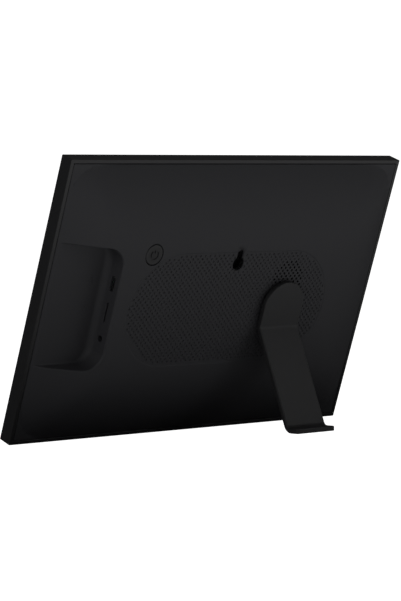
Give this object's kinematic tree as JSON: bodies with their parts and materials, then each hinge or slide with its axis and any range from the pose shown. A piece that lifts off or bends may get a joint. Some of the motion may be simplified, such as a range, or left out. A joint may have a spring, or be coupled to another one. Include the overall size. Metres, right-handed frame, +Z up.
{
  "type": "smart display",
  "caption": "Touch-screen display in a slim frame with a domed back, side port bay, power button, keyhole hanger and a swivelling stand leg.",
  "frame": {"origin": "on the surface it stands on, under the middle of its box", "axes": "+X to the viewer's right facing the screen, +Y out of the back, +Z up; the panel leans back 20.5 degrees about X"},
  "size_m": [0.26, 0.0832, 0.1643],
  "materials": {
    "frame_plastic": "satin moulded",
    "cover_plastic": "fine grained, matte",
    "stand_plastic": "fine grained, matte",
    "button_plastic": "matte",
    "inner_plastic": "as moulded",
    "white_plastic": "as moulded",
    "screen_glass": "black printed glass",
    "panel_glass": "polarised",
    "film": "diffusing",
    "foam": "foam",
    "steel": "pressed",
    "brass": "turned",
    "board": "solder mask",
    "chip": "moulded epoxy",
    "flex": "polyimide",
    "wire": "insulated",
    "cable": "insulated",
    "cone": "coated paper"
  },
  "bodies": {
    "casing": {"front_frame": "frame_plastic", "touch_glass": "screen_glass", "glass_tape": "foam", "lcd_cell": "panel_glass", "diffuser_films": "film", "light_guide": "film", "led_strip": "film", "backlight_tray": "steel", "middle_plate": "steel", "plate_screws": "steel", "display_flex": "flex", "touch_flex": "flex", "back_cover": "cover_plastic", "main_board": "board", "board_standoffs": "brass", "board_screws": "steel", "shield_can": "steel", "board_chips": "chip", "usb_socket": "steel", "usb_tongue": "chip", "card_socket": "steel", "audio_socket": "inner_plastic", "button_switch": "steel", "button_board": "board", "button_screws": "steel", "button_wires": "wire", "hanger_plate": "steel", "hanger_cup": "inner_plastic", "hanger_screws": "steel", "speaker_frame": "inner_plastic", "speaker_cone": "cone", "speaker_magnet": "steel", "speaker_gasket": "foam", "speaker_mesh": "foam", "speaker_screws": "steel", "speaker_wires": "wire", "wifi_antenna": "flex", "antenna_cable": "cable", "glide_washer": "white_plastic", "wave_washer": "steel"},
    "button": {"power_button": "button_plastic", "switch_plunger": "white_plastic"},
    "stand": {"stand_leg": "stand_plastic", "stand_shaft": "inner_plastic", "keeper_disc": "steel", "pivot_screw": "steel"}
  },
  "joints": [
    {"name": "stand_swivel", "type": "hinge", "parent": "casing", "child": "stand", "pos_m": [-0.0415, 0.00827, 0.07635], "axis": [0, 0.9367, -0.3502], "range_deg": [0, 90]},
    {"name": "power_button_press", "type": "slide", "parent": "casing", "child": "button", "axis": [0, -0.9367, 0.3502], "range_m": [0, 0.0005], "stiffness_N_per_m": 2500, "springref_m": -0.0004}
  ]
}
